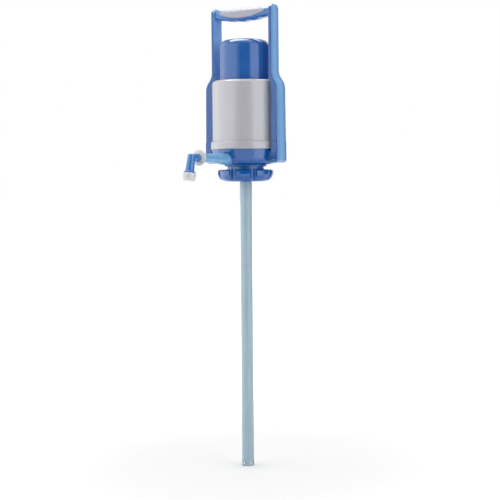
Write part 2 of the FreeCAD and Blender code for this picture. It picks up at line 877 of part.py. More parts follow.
def leg_profile(sketch, corners):
    axis_line(sketch, leg_spot("-40", "0"), leg_spot("60", "0"))
    outline(sketch, [leg_spot(*corner[:2]) + tuple(corner[2:]) for corner in corners])


def make_spout_elbow():
    flange = "pipe_end_radius - tip_step - 0.05"
    flange_low = "pipe_end + elbow_seal_width + 0.1"
    body = turned("spout_elbow", [
        ("0", flange_low),
        (flange, flange_low),
        (flange, "pipe_end + stub_flange_end", "0.3"),
        ("stub_radius", "pipe_end + stub_flange_end"),
        ("stub_radius", "elbow_reach - 1"),
        ("0", "elbow_reach - 1"),
    ])
    sketch = new_sketch(body, "YZ_Plane")
    leg_profile(sketch, [
        ("-leg_crown", "0"),
        ("-leg_crown", "leg_top_radius", "leg_crown_rounding"),
        ("leg_length - 3", "leg_foot_radius"),
        ("leg_length - 2", "leg_lip_radius", "0.6"),
        ("leg_length", "leg_lip_radius", "0.6"),
        ("leg_length", "plug_radius + 0.2"),
        ("leg_length + plug_length", "plug_radius", "0.5"),
        ("leg_length + plug_length", "0"),
    ])
    revolve(body, sketch, axis="Axis0")
    sketch = new_sketch(body, "XZ_Plane")
    outline(sketch, [("0", "pipe_end"), ("elbow_bore", "pipe_end"), ("elbow_bore", "elbow_reach"),
                     ("0", "elbow_reach")])
    revolve(body, sketch, cut=True)
    sketch = new_sketch(body, "YZ_Plane")
    mouth = "leg_length + plug_length + 1"
    leg_profile(sketch, [("-leg_crown / 2", "0"), ("0", "elbow_bore"), (mouth, "mouth_radius"), (mouth, "0")])
    revolve(body, sketch, cut=True, axis="Axis0")
    put_on_spout(body)
    return keep(body)


def make_spout_end_cap():
    body = new_body("spout_end_cap")
    sketch = new_sketch(body, "YZ_Plane")
    high = f"leg_length + {SLIP} + 0.1"
    low = "leg_length + end_cap_height"
    room = f"plug_radius + {SLIP} + 0.25"
    leg_profile(sketch, [
        (high, room),
        (high, "end_cap_radius - 0.3", "1"),
        ("leg_length + 4", "end_cap_radius", "4"),
        (low, "end_cap_radius - 1.4", "2.4"),
        (low, "0"),
        (f"{low} - end_cap_floor", "0"),
        (f"{low} - end_cap_floor", room),
    ])
    revolve(body, sketch, axis="Axis0")
    put_on_spout(body)
    return keep(body)


def make_handle_arm(label, side):
    body = new_body(label)
    sketch = new_sketch(body, "XZ_Plane")
    foot_top = "arm_low + foot_height"
    neck_inner = "arm_neck_outer - arm_thickness"
    corners = [
        ("foot_reach", "arm_low", "1"),
        ("arm_outer + 0.8", "arm_low", "5"),
        ("arm_outer - 0.4", "shoulder_low", "shoulder_rounding"),
        ("arm_neck_outer", "shoulder_top - 3", "shoulder_rounding"),
        ("arm_neck_outer", "arm_top", "arm_thickness / 2 - 0.2"),
        (neck_inner, "arm_top", "arm_thickness / 2 - 0.2"),
        (neck_inner, "shoulder_top - 4", "shoulder_rounding + 4"),
        ("arm_inner", "shoulder_low - 2", "shoulder_rounding + 4"),
        ("arm_inner", foot_top),
        ("foot_reach", foot_top),
    ]
    outline(sketch, [(f"{side}({across})", *rest) for across, *rest in corners])
    pad(body, sketch, "arm_width + 2 * boot_step")
    # the arm's outline seen from its own side: a boot below, and a narrower neck with a round head
    half = "arm_width / 2"
    sketch = new_sketch(body, "YZ_Plane")
    outline(sketch, box_outline("40", "-20", "320"))
    outline(sketch, mirrored([
        (f"{half} + boot_step", "arm_low", "6"),
        (f"{half} + boot_step", "boot_top - boot_step"),
        (half, "boot_top"),
        (half, "shoulder_low + 6", "waist_rounding"),
        ("arm_neck_width / 2", "shoulder_top", "waist_rounding"),
        ("arm_neck_width / 2", "arm_top", "8.5"),
    ]))
    pocket(body, sketch, "200")
    # screw holes in the foot, with sunk seats for the heads
    for place in ("screw_spread", "-screw_spread"):
        for radius, depth in (("screw_radius + 0.3", "12"), ("screw_head_radius + 0.2", "screw_seat_depth")):
            sketch = new_sketch(body, "XY_Plane", "arm_low")
            circle(sketch, f"{side}screw_place", place, radius)
            pocket(body, sketch, depth, both=False, flip=True)
    return keep(body)


def make_handle_screws():
    """Four pan-head screws under the arms' feet, one group of separate solids."""
    head_height = value("screw_seat_depth") - 0.3
    head_low = value("arm_low") + 0.2
    shank_length = value("foot_height + screw_reach") - 2.2
    slot_width = 1.0
    slot_depth = 0.9
    slot_length = 4.0
    solids = []
    for across in (value("screw_place"), -value("screw_place")):
        for along in (value("screw_spread"), -value("screw_spread")):
            spot = FreeCAD.Vector(across, along, head_low)
            head = Part.makeCylinder(value("screw_head_radius"), head_height, spot)
            head = head.makeFillet(0.6, [head.Edges[2]])
            neck = spot + FreeCAD.Vector(0, 0, head_height - 0.1)
            shank = Part.makeCylinder(value("screw_radius"), shank_length, neck)
            corner = spot - FreeCAD.Vector(slot_width / 2, slot_length / 2, 0.01)
            slot = Part.makeBox(slot_width, slot_length, slot_depth, corner)
            solids.append(head.fuse(shank).cut(slot).removeSplitter())
    group = doc.addObject("Part::Feature", "handle_screws")
    group.Label = "handle_screws"
    group.Shape = Part.makeCompound(solids)
    return keep(group)


def grip_form(label, inset):
    """The bar's barrel: three rounded sections, thick in the middle, lofted from arm to arm."""
    body = new_body(label)
    sections = []
    end = "(arm_neck_outer - arm_thickness)"
    end_top = f"grip_top - grip_drop - {inset}"
    stations = (
        (f"-{end}", "grip_end_depth", end_top, "grip_end_height"),
        ("0", "grip_middle_depth", f"grip_top - {inset}", "grip_middle_height"),
        (end, "grip_end_depth", end_top, "grip_end_height"),
    )
    for place, depth, high, height in stations:
        sketch = new_sketch(body, "YZ_Plane", place)
        low = f"{high} + {inset} * 2 - {height}"
        rounding = f"{height} / 2 - {inset} - 1"
        outline(sketch, box_outline(f"{depth} / 2 - {inset}", low, high, rounding))
        sections.append(sketch)
    doc.recompute()
    loft = body.newObject("PartDesign::AdditiveLoft", f"{label}_loft")
    loft.Profile = (sections[0], [""])
    loft.Sections = [(section, [""]) for section in sections[1:]]
    loft.Ruled = False
    doc.recompute()
    return body


def make_grip():
    form = grip_form("grip_form", "0")
    core = grip_form("grip_core", "pad_thickness")
    # finger ripples: four shallow troughs across the underside, which rises towards its ends
    for place in (-1.5, -0.5, 0.5, 1.5):
        sketch = new_sketch(form, "XZ_Plane")
        rise = "inner_trough" if abs(place) < 1 else "outer_trough"
        height = f"grip_top - grip_middle_height + {rise} - trough_radius"
        circle(sketch, f"{place} * finger_pitch", height, "trough_radius")
        pocket(form, sketch, "60")
    # the insert's lens-shaped outline, seen from the front
    sketch = doc.addObject("Sketcher::SketchObject", "pad_outline")
    sketch.Placement = FreeCAD.Placement(FreeCAD.Vector(), FreeCAD.Rotation(FreeCAD.Vector(1, 0, 0), 90))
    ends = (("-pad_length / 2", "pad_tips"), ("pad_length / 2", "pad_tips"))
    spots = [FreeCAD.Vector(value(across), value(up), 0) for across, up in ends]
    for order, height in ((1, "grip_top + 2.5"), (-1, "pad_low")):
        first, last = spots[::-order]
        middle = FreeCAD.Vector(0, value(height), 0)
        arc = sketch.addGeometry(Part.Arc(first, middle, last), False)
        tie(sketch, arc, 1, *ends[order == 1])
        tie(sketch, arc, 2, *ends[order != 1])
        crown = sketch.addGeometry(Part.Point(middle), True)
        tie(sketch, crown, 1, "0", height)
        sketch.addConstraint(Sketcher.Constraint("PointOnObject", crown, 1, arc))
    doc.recompute()
    lens = doc.addObject("Part::Extrusion", "pad_lens")
    lens.Base = sketch
    lens.DirMode = "Normal"
    lens.LengthFwd = 40
    lens.Solid = True
    lens.Symmetric = True
    skin = doc.addObject("Part::Cut", "grip_skin")
    skin.Base = form
    skin.Tool = core
    insert = doc.addObject("Part::Common", "grip_pad")
    insert.Base = skin
    insert.Tool = lens
    insert.Label = "grip_pad"
    bar = doc.addObject("Part::Cut", "grip_bar")
    bar.Base = form
    bar.Tool = insert
    bar.Label = "grip_bar"
    doc.recompute()
    keep(insert)
    keep(bar)


make_push_cap()
make_outer_shell()
make_base_housing()
make_valve_plate()
make_umbrella("check_valve", "check_valve_place", "plate_low")
make_umbrella("intake_valve", "0", "cap_top - cap_wall - ceiling_ring_height - top_plate_thickness")
make_bellows()
make_bellows_top_plate()
make_bellows_clamp_ring()
make_return_spring()
make_neck_gasket()
make_neck_collet()
make_clamp_collar()
make_dip_tube("dip_tube_upper", "tube_top", "tube_joint_one", spigot=False)
make_dip_tube("dip_tube_middle", "tube_joint_one", "tube_joint_two")
make_dip_tube("dip_tube_lower", "tube_joint_two", "tube_low", foot=True)
make_spout_pipe()
make_pipe_seal()
make_elbow_seal()
make_spout_nut()
make_spout_elbow()
make_spout_end_cap()
make_handle_arm("handle_arm_right", "")
make_handle_arm("handle_arm_left", "-")
make_handle_screws()
make_grip()
doc.recompute()

os.makedirs(OUT, exist_ok=True)
for item in doc.Objects:
    if "Invalid" in item.State or "Error" in item.State:
        raise RuntimeError(f"{item.Label} failed: {item.State}")
for name, item in nodes.items():
    if item.Shape.isNull() or not item.Shape.isValid():
        raise RuntimeError(f"{name} has no valid shape")
for name, item in nodes.items():
    item.Shape.exportStep(f"{OUT}/{name}.step")
    box = item.Shape.BoundBox
    print(f"{name:20s} solids {len(item.Shape.Solids)} volume {item.Shape.Volume / 1000:8.2f} cm3 "
          f"x {box.XMin:.1f} {box.XMax:.1f} y {box.YMin:.1f} {box.YMax:.1f} z {box.ZMin:.1f} {box.ZMax:.1f}")
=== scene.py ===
import math

import bmesh
import bpy
from mathutils import Matrix, Vector


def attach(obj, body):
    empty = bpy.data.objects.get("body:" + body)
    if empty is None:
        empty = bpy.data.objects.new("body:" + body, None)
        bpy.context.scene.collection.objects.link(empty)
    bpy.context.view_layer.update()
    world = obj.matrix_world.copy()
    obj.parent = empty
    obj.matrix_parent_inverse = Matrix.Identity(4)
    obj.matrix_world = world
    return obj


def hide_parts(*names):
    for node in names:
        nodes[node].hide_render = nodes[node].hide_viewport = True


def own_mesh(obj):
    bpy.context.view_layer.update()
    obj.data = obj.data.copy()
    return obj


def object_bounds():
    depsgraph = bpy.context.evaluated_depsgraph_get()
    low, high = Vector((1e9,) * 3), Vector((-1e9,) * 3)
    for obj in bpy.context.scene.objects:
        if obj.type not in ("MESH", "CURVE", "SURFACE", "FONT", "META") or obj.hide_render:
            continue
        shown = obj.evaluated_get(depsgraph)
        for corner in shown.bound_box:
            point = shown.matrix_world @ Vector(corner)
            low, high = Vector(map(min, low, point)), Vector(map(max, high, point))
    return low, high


# Looks of the hand pump, in metres. The spout points to -Y and the handle's arms stand at +X and -X.

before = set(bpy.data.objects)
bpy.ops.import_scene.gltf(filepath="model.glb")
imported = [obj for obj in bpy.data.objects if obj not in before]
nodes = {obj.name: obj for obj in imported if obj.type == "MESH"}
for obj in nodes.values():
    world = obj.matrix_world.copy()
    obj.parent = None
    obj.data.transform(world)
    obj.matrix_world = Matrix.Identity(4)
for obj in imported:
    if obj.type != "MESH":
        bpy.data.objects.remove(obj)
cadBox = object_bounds()
mm = 0.001
print("frame loaded:", len(nodes), "nodes")


# Camera

viewpoint = {
    "azimuth": 35.75,       # degrees from -Y towards +X, as the photograph was taken
    "distance": 2.134,      # from the pump's axis
    "height": -0.0107,      # about level with the clamp collar
    "yaw": -0.156,          # degrees, how far the view turns off the axis
    "pitch": -3.078,
    "roll": -0.48,
    "focalPixels": 1320.0,  # focal length in pixels of the picture
    "pictureWidth": 500.0,
    "sensor": 36.0,         # mm
}


def outward(azimuth, lift=0.0):
    # the direction away from the pump's axis, in degrees from -Y towards +X and up from level
    a = math.radians(azimuth)
    e = math.radians(lift)
    return Vector((math.sin(a) * math.cos(e), -math.cos(a) * math.cos(e), math.sin(e)))


def addCamera(view):
    place = outward(view["azimuth"]) * view["distance"]
    place.z = view["height"]
    ahead = -outward(view["azimuth"] + view["yaw"], -view["pitch"])
    right = ahead.cross(Vector((0, 0, 1))).normalized()
    up = right.cross(ahead)
    roll = math.radians(view["roll"])
    across = right * math.cos(roll) + up * math.sin(roll)
    upright = up * math.cos(roll) - right * math.sin(roll)
    turn = Matrix((across, upright, -ahead)).transposed().to_4x4()
    data = bpy.data.cameras.new("camera")
    data.sensor_width = view["sensor"]
    data.lens = view["focalPixels"] / view["pictureWidth"] * view["sensor"]
    camera = bpy.data.objects.new("camera", data)
    camera.matrix_world = Matrix.Translation(place) @ turn
    bpy.context.scene.collection.objects.link(camera)
    bpy.context.scene.camera = camera


addCamera(viewpoint)
bpy.context.scene.view_settings.view_transform = "Standard"
print("camera placed")


# Helpers for materials

roundedEdges = {
    "radius": 0.9,          # mm, how a moulded or stamped edge looks rounded; it only turns the light there
    "samples": 4,
}


def linear(hexColour):
    # an sRGB hex colour as the linear numbers that a shader takes
    shares = [int(hexColour[i:i + 2], 16) / 255 for i in (1, 3, 5)]
    straight = [s / 12.92 if s <= 0.04045 else ((s + 0.055) / 1.055) ** 2.4 for s in shares]
    return (*straight, 1.0)


def addNode(tree, kind, inputs=None, stops=None, **settings):
    # one node: its settings, its inputs as values or as (node, output) links, and a colour ramp's stops
    node = tree.nodes.new("ShaderNode" + kind)
    for name, setting in settings.items():
        setattr(node, name, setting)
    for name, given in (inputs or {}).items():
        if isinstance(given, tuple) and isinstance(given[0], bpy.types.Node):
            tree.links.new(given[0].outputs[given[1]], node.inputs[name])
        else:
            node.inputs[name].default_value = given
    for number, (place, colour) in enumerate(stops or []):
        elements = node.color_ramp.elements
        stop = elements[number] if number < 2 else elements.new(place)
        stop.position, stop.color = place, linear(colour)
    return node


def startMaterial(name):
    material = bpy.data.materials.new(name)
    material.use_nodes = True
    material.node_tree.nodes.clear()
    return material, material.node_tree


def scattering(look):
    # the sockets of a plastic that lets light in; with this scale the radius counts in millimetres
    return {"IOR": look["ior"], "Subsurface Weight": look["scatter"], "Subsurface Scale": mm,
            "Subsurface Radius": look["reach"]}


def finishMaterial(tree, look, here, colour, relief, sockets):
    # the shader: gloss that drifts between two values in soft patches, as on handled plastic, relief as
    # (node, output, real height in mm), edges that look rounded, and the plain sockets
    patches = addNode(tree, "TexNoise", {"Vector": here, "Scale": 1 / (look["patchSize"] * mm)})
    low, high = look["roughness"]
    rough = addNode(tree, "MapRange", {"Value": (patches, "Fac"), "To Min": low, "To Max": high})
    source, output, height = relief
    edge = addNode(tree, "Bevel", {"Radius": roundedEdges["radius"] * mm}, samples=roundedEdges["samples"])
    bump = addNode(tree, "Bump", {"Height": (source, output), "Distance": height * mm,
                                  "Normal": (edge, "Normal")})
    textured = {"Base Color": colour, "Roughness": (rough, "Result"), "Normal": (bump, "Normal")}
    shader = addNode(tree, "BsdfPrincipled", {**textured, **sockets})
    addNode(tree, "OutputMaterial", {"Surface": (shader, "BSDF")})


# Materials. The colours hold for plain light, and each finish starts from the usual values of its plastic or
# metal. Sizes and heights are in mm. Tones are places along a pattern and the colours there.

capBlue = {
    "tones": [(0.3, "#22579E"), (0.75, "#2A60A6")],
    "cloudSize": 30.0,       # faint clouds in the pigment
    "patchSize": 26.0,
    "roughness": (0.05, 0.10),
    "waveSize": 5.0,         # the moulded skin's faint waves
    "waveHeight": 0.004,
    "ior": 1.53,
}


def makeCapAbs(look):
    # deep blue ABS from a polished mould: crisp reflections, a little wavy
    material, tree = startMaterial("polishedMouldedAbs")
    here = (addNode(tree, "TexCoord"), "Object")
    clouds = addNode(tree, "TexNoise", {"Vector": here, "Scale": 1 / (look["cloudSize"] * mm)})
    tint = addNode(tree, "ValToRGB", {"Fac": (clouds, "Fac")}, look["tones"])
    waves = addNode(tree, "TexNoise", {"Vector": here, "Scale": 1 / (look["waveSize"] * mm)})
    relief = (waves, "Fac", look["waveHeight"])
    finishMaterial(tree, look, here, (tint, "Color"), relief, {"IOR": look["ior"]})
    return material


shellSilver = {
    "tones": [(0.35, "#A9A9AF"), (0.65, "#B3B3B9")],
    "flakeSize": 0.7,        # real flakes are 0.05, too fine to show, so they are drawn coarser
    "flakeDetail": 1.0,
    "flakeHeight": 0.002,
    "patchSize": 30.0,
    "roughness": (0.34, 0.38),
    "metallic": 0.05,
    "coat": 0.5,             # the clear coat over the flakes
    "coatRoughness": 0.08,
}


def makeSilverLacquer(look):
    # ABS sprayed with silver lacquer: fine flakes under a clear coat, so reflections are broad and soft
    material, tree = startMaterial("sprayedSilverLacquer")
    here = (addNode(tree, "TexCoord"), "Object")
    flakes = addNode(tree, "TexNoise", {"Vector": here, "Scale": 1 / (look["flakeSize"] * mm),
                                        "Detail": look["flakeDetail"]})
    tint = addNode(tree, "ValToRGB", {"Fac": (flakes, "Fac")}, look["tones"])
    relief = (flakes, "Fac", look["flakeHeight"])
    sockets = {"Metallic": look["metallic"], "Coat Weight": look["coat"],
               "Coat Roughness": look["coatRoughness"]}
    finishMaterial(tree, look, here, (tint, "Color"), relief, sockets)
    return material


armBlue = {
    "name": "translucentMouldedAbs",
    "tones": [(0.02, "#0B5299"), (0.12, "#6193C4"), (0.8, "#7EA8D4")],  # from the edge, 0, to the middle, 1: deep at the edge, then lighter towards the middle as a painted highlight
    "inward": "#8DBBE6",     # painted light: a lighter colour on the faces towards the shell and the cap, which lie in shade
    "paintedLightFrom": 0.4,       # how squarely a face looks inwards before it gets that colour, 1 for fully
    "cloud": 0.04,           # how far the pigment's clouds shift the tone
    "cloudSize": 22.0,
    "halfLow": 12.9,         # half widths of the arm under and over its shoulder
    "halfHigh": 10.95,
    "shoulder": (145.0, 157.0),     # the heights between which the arm narrows
    "scatter": 0.45,         # share of the light that goes in
    "reach": (2.0, 4.0, 7.0),       # how far red, green and blue light travels inside
    "patchSize": 18.0,
    "roughness": (0.14, 0.22),
    "waveSize": 6.0,
    "waveHeight": 0.004,
    "ior": 1.53,
}
barBlue = dict(
    armBlue,
    name="translucentBarAbs",
    # the same deep edge, and a painted highlight towards the middle of each face
    tones=[(0.02, "#0B5299"), (0.12, "#2F6CB0"), (0.8, "#4680BE")],
    paintedLightFrom=2.0,          # never reached: the bar's faces get no painted light
)


def makeArmAbs(look):
    # translucent blue ABS, moulded: a thin face looks light, and an edge, seen through more of it, deep. Each
    # face is also painted lighter towards its middle as a highlight, and the faces that look inwards get painted
    # light
    material, tree = startMaterial(look["name"])
    place = addNode(tree, "TexCoord")
    here = (place, "Object")
    axes = addNode(tree, "SeparateXYZ", {"Vector": here})
    away = addNode(tree, "Math", {0: (axes, "Y")}, operation="ABSOLUTE")
    low, high = look["shoulder"]
    half = addNode(tree, "MapRange", {
        "Value": (axes, "Z"), "From Min": low * mm, "From Max": high * mm,
        "To Min": look["halfLow"] * mm, "To Max": look["halfHigh"] * mm,
    })
    share = addNode(tree, "Math", {0: (away, "Value"), 1: (half, "Result")}, operation="DIVIDE")
    towardsMiddle = addNode(tree, "Math", {0: 1.0, 1: (share, "Value")}, operation="SUBTRACT")
    clouds = addNode(tree, "TexNoise", {"Vector": here, "Scale": 1 / (look["cloudSize"] * mm)})
    drift = addNode(tree, "MapRange", {"Value": (clouds, "Fac"),
                                       "To Min": -look["cloud"], "To Max": look["cloud"]})
    mixed = addNode(tree, "Math", {0: (towardsMiddle, "Value"), 1: (drift, "Result")}, operation="ADD")
    # deep at the edge, and lighter towards the middle of each face as a painted highlight
    bluesWithPaintedHighlight = addNode(tree, "ValToRGB", {"Fac": (mixed, "Value")}, look["tones"])
    # painted light: faces that look inwards, towards the shell and the cap, get the lighter colour
    slopes = addNode(tree, "SeparateXYZ", {"Vector": (place, "Normal")})
    side = addNode(tree, "Math", {0: (axes, "X")}, operation="SIGN")
    turned = addNode(tree, "Math", {0: (slopes, "X"), 1: (side, "Value")}, operation="MULTIPLY")
    paintedLightMask = addNode(tree, "Math", {0: (turned, "Value"), 1: -look["paintedLightFrom"]}, operation="LESS_THAN")
    tint = addNode(tree, "MixRGB", {"Fac": (paintedLightMask, "Value"), "Color1": (bluesWithPaintedHighlight, "Color"),
                                    "Color2": linear(look["inward"])})
    waves = addNode(tree, "TexNoise", {"Vector": here, "Scale": 1 / (look["waveSize"] * mm)})
    relief = (waves, "Fac", look["waveHeight"])
    finishMaterial(tree, look, here, (tint, "Color"), relief, scattering(look))
    return material


baseBlue = {
    "name": "tintedMouldedSan",
    "tones": [(0.3, "#06519C"), (0.75, "#105EA8")],
    "cloudSize": 16.0,
    "scatter": 0.2,
    "reach": (2.0, 4.0, 7.0),
    "patchSize": 20.0,
    "roughness": (0.10, 0.17),
    "waveSize": 4.0,
    "waveHeight": 0.004,
    "ior": 1.57,
}
# painted light: a lighter copy of the base's plastic, so that the neck between the base and the collar looks lit
neckBlue = dict(
    baseBlue,
    name="brightTintedSan",
    tones=[(0.3, "#2C6FBC"), (0.75, "#397DC8")],
    roughness=(0.16, 0.22),
)
collarBlue = dict(
    baseBlue,
    name="glossyTintedSan",
    tones=[(0.3, "#044E98"), (0.75, "#0C5AA4")],
    roughness=(0.05, 0.09),
)
spoutBlue = dict(
    baseBlue,
    name="paleTintedSan",
    tones=[(0.3, "#6098C8"), (0.75, "#72A8D4")],
)
elbowBlue = dict(
    baseBlue,
    name="deepTintedSan",
    tones=[(0.3, "#3470B0"), (0.75, "#4280BE")],
    roughness=(0.06, 0.10),
)


def makeClearSan(look):
    # blue-tinted clear plastic with a little scatter: light gathers inside it and its edges glow
    material, tree = startMaterial(look["name"])
    here = (addNode(tree, "TexCoord"), "Object")
    clouds = addNode(tree, "TexNoise", {"Vector": here, "Scale": 1 / (look["cloudSize"] * mm)})
    tint = addNode(tree, "ValToRGB", {"Fac": (clouds, "Fac")}, look["tones"])
    waves = addNode(tree, "TexNoise", {"Vector": here, "Scale": 1 / (look["waveSize"] * mm)})
    relief = (waves, "Fac", look["waveHeight"])
    finishMaterial(tree, look, here, (tint, "Color"), relief, scattering(look))
    return material


softFinishes = {
    "texturedGreyTpe": {                # eroded mould: a fine even grain that dulls the gloss
        "tones": [(0.3, "#9A9CA8"), (0.7, "#AAABB6")],
        "grain": 0.9, "relief": 0.010, "patchSize": 16.0, "roughness": (0.36, 0.46),
        "scatter": 0.0, "reach": (3.0, 3.0, 3.0), "ior": 1.49,
    },
    "mouldedWhitePolypropylene": {      # waxy white that lets a little light in
        "tones": [(0.3, "#C4C6CB"), (0.7, "#D3D4D8")],
        "grain": 7.0, "relief": 0.004, "patchSize": 9.0, "roughness": (0.26, 0.36),
        "scatter": 0.2, "reach": (3.0, 3.0, 3.0), "ior": 1.49,
    },
    "milkySilicone": {                  # soft, half clear, dull skin
        "tones": [(0.3, "#C9D2D6"), (0.7, "#DDE4E6")],
        "grain": 4.0, "relief": 0.004, "patchSize": 12.0, "roughness": (0.35, 0.50),
        "scatter": 0.35, "reach": (3.0, 3.0, 3.0), "ior": 1.49,
    },
    "talcedRubber": {                   # black rubber with the mould's talc on it
        "tones": [(0.3, "#2B2D30"), (0.7, "#3B3D41")],
        "grain": 1.6, "relief": 0.015, "patchSize": 10.0, "roughness": (0.55, 0.75),
        "scatter": 0.0, "reach": (3.0, 3.0, 3.0), "ior": 1.49,
    },
}
grainDetail = 3.0       # finer layers in the grain of these skins


def makeSoft(name):
    look = softFinishes[name]
    material, tree = startMaterial(name)
    here = (addNode(tree, "TexCoord"), "Object")
    specks = addNode(tree, "TexNoise", {"Vector": here, "Scale": 1 / (look["grain"] * mm),
                                        "Detail": grainDetail})
    tint = addNode(tree, "ValToRGB", {"Fac": (specks, "Fac")}, look["tones"])
    relief = (specks, "Fac", look["relief"])
    finishMaterial(tree, look, here, (tint, "Color"), relief, scattering(look))
    return material


tubeMilk = {
    "tones": [(0.3, "#A8C2D2"), (0.7, "#C2D7E3")],
    "clearness": 0.35,
    "patchSize": 30.0,
    "roughness": (0.25, 0.40),
    "lineSize": 1.2,         # between the faint lines that run along an extruded tube
    "lineHeight": 0.01,
    "drawnOut": 0.02,        # share of that pace at which the lines change along the tube
    "ior": 1.49,
}


def makeTubePlastic(look):
    # extruded natural polypropylene: milky, half clear, with faint lines along its length
    material, tree = startMaterial("extrudedPolypropylene")
    here = (addNode(tree, "TexCoord"), "Object")
    drawn = addNode(tree, "Mapping", {"Vector": here, "Scale": (1.0, 1.0, look["drawnOut"])})
    lines = addNode(tree, "TexNoise", {"Vector": (drawn, "Vector"), "Scale": 1 / (look["lineSize"] * mm)})
    tint = addNode(tree, "ValToRGB", {"Fac": (lines, "Fac")}, look["tones"])
    relief = (lines, "Fac", look["lineHeight"])
    sockets = {"IOR": look["ior"], "Transmission Weight": look["clearness"]}
    finishMaterial(tree, look, here, (tint, "Color"), relief, sockets)
    return material


metals = {
    "drawnSpringSteel": {               # die lines, slightly oily
        "tones": [(0.3, "#8A8C8F"), (0.7, "#B4B6B9")],
        "grain": 0.8, "relief": 0.004, "patchSize": 3.0, "roughness": (0.22, 0.38),
    },
    "zincPlatedSteel": {                # bright with a faint spangle
        "tones": [(0.3, "#A9ACAE"), (0.7, "#CFD2D4")],
        "grain": 2.5, "relief": 0.002, "patchSize": 2.0, "roughness": (0.25, 0.40),
    },
}


def makeMetal(name):
    look = metals[name]
    material, tree = startMaterial(name)
    here = (addNode(tree, "TexCoord"), "Object")
    spangle = addNode(tree, "TexNoise", {"Vector": here, "Scale": 1 / (look["grain"] * mm)})
    tint = addNode(tree, "ValToRGB", {"Fac": (spangle, "Fac")}, look["tones"])
    relief = (spangle, "Fac", look["relief"])
    finishMaterial(tree, look, here, (tint, "Color"), relief, {"Metallic": 1.0})
    return material


rubber = makeSoft("talcedRubber")
springSteel = makeMetal("drawnSpringSteel")
whitePlastic = makeSoft("mouldedWhitePolypropylene")
finishOf = {
    makeCapAbs(capBlue): ["push_cap"],
    makeSilverLacquer(shellSilver): ["outer_shell"],
    makeArmAbs(armBlue): ["handle_arm_left", "handle_arm_right"],
    makeArmAbs(barBlue): ["grip_bar"],
    makeClearSan(baseBlue): ["base_housing"],
    makeClearSan(neckBlue): ["neck_collet"],
    makeClearSan(collarBlue): ["clamp_collar"],
    makeClearSan(spoutBlue): ["spout_pipe"],
    makeClearSan(elbowBlue): ["spout_elbow"],
    makeSoft("texturedGreyTpe"): ["grip_pad"],
    whitePlastic: ["spout_nut", "spout_end_cap", "valve_plate", "bellows_clamp_ring", "bellows_top_plate"],
    makeSoft("milkySilicone"): ["check_valve", "intake_valve", "neck_gasket", "pipe_seal", "elbow_seal"],
    rubber: ["bellows"],
    makeTubePlastic(tubeMilk): ["dip_tube_upper", "dip_tube_middle", "dip_tube_lower"],
    springSteel: ["return_spring"],
    makeMetal("zincPlatedSteel"): ["handle_screws"],
}
for material, names in finishOf.items():
    for name in names:
        for place in nodes[name].material_slots:
            place.material = material
print("materials made")


# Helpers for shapes

sameSpot = 0.001 * mm       # points closer than this are one


def spinLine(points, angle, steps, closed):
    # a sheet from a line of points that turns round the pump's axis
    sheet = bmesh.new()
    verts = [sheet.verts.new(point) for point in points]
    for here, after in zip(verts, verts[1:]):
        sheet.edges.new((here, after))
    bmesh.ops.spin(sheet, geom=sheet.verts[:] + sheet.edges[:], cent=(0, 0, 0), axis=(0, 0, 1),
                   angle=angle, steps=steps, use_merge=closed)
    return sheet


def cleanSheet(sheet):
    # doubles merged first, then every face turned outwards
    bmesh.ops.remove_doubles(sheet, verts=sheet.verts, dist=sameSpot)
    bmesh.ops.recalc_face_normals(sheet, faces=sheet.faces)


def addPiece(name, sheet, material):
    mesh = bpy.data.meshes.new(name)
    sheet.to_mesh(mesh)
    sheet.free()
    mesh.materials.append(material)
    piece = bpy.data.objects.new(name, mesh)
    bpy.context.scene.collection.objects.link(piece)
    return piece


# Pieces built in place of the bellows and the spring, on the root body, from the valve plate up

plateTop = Vector((0, 0, 35.5 * mm))


def finishPiece(sheet, name, material, node):
    # smooth, and standing for its node on the root body
    cleanSheet(sheet)
    for face in sheet.faces:
        face.smooth = True
    piece = addPiece(name, sheet, material)
    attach(piece, "root")
    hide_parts(node)
    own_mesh(piece)
    return piece


bellowsShape = {
    "hemRadius": 43.0,       # mm
    "hemInside": 31.8,       # where the hem ends and the first fold's wall begins
    "hemHeight": 1.8,        # over the valve plate
    "waist": 29.8,
    "crest": 36.8,
    "foldsLow": 39.5,
    "foldsHigh": 197.4,
    "folds": 10,
    "foldRounding": 2.6,
    "roundingSteps": 4,
    "pastFolds": 0.1,        # rings this far past the end folds are still rounded, hem and cuff stay sharp
    "cuff": 33.6,
    "cuffRise": 3.0,         # over the highest fold
    "lipTop": 207.6,
    "lipInner": 28.8,
    "wall": 1.3,
    "around": 96,
}


